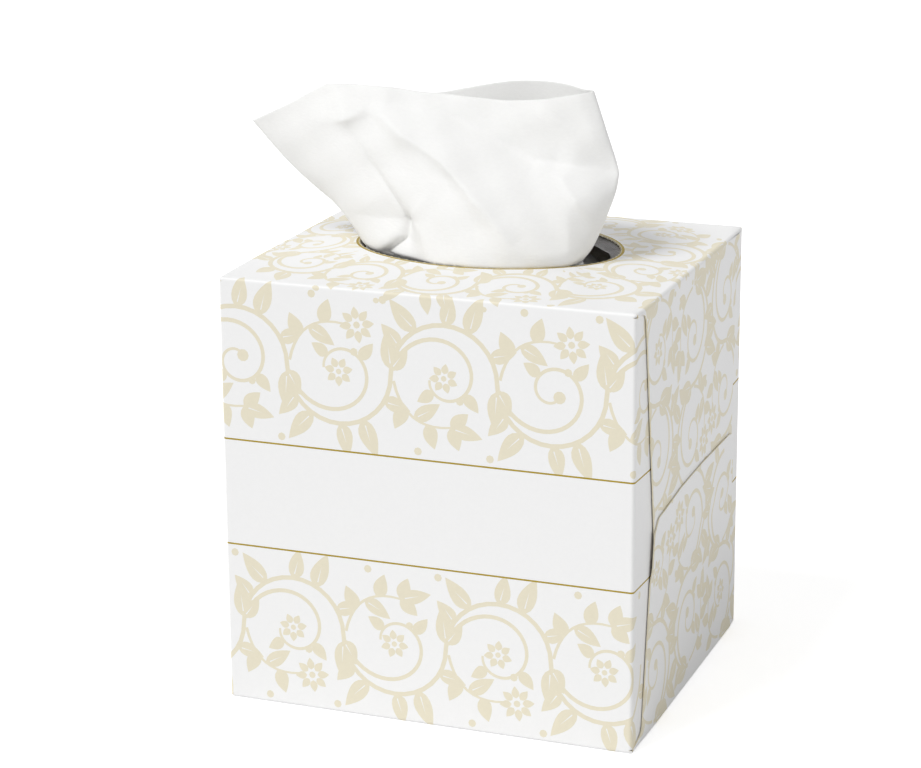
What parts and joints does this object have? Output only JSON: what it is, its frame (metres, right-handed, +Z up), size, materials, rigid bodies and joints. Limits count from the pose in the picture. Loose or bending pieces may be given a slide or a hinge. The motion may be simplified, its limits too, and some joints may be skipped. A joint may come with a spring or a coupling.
{
  "type": "tissue box",
  "caption": "Cube-shaped folded carton of facial tissues, with an oval hole and a slit film in the top and a white tissue standing out of it.",
  "frame": {"origin": "centre of the carton's bottom panel, on the surface that it stands on", "axes": "+Z up, front panel facing -Y, hole's long axis along X, glued end flaps at -X and +X"},
  "size_m": [0.132, 0.105, 0.1704],
  "materials": {
    "printed_board": "white coated board with a pale beige print",
    "film": "thin hazy polythene film",
    "tissue": "soft matte tissue paper"
  },
  "bodies": {
    "root": {"carton": "printed_board", "slit_film": "film", "tissue_pack": "tissue", "popup_tissue": "tissue"}
  },
  "joints": []
}
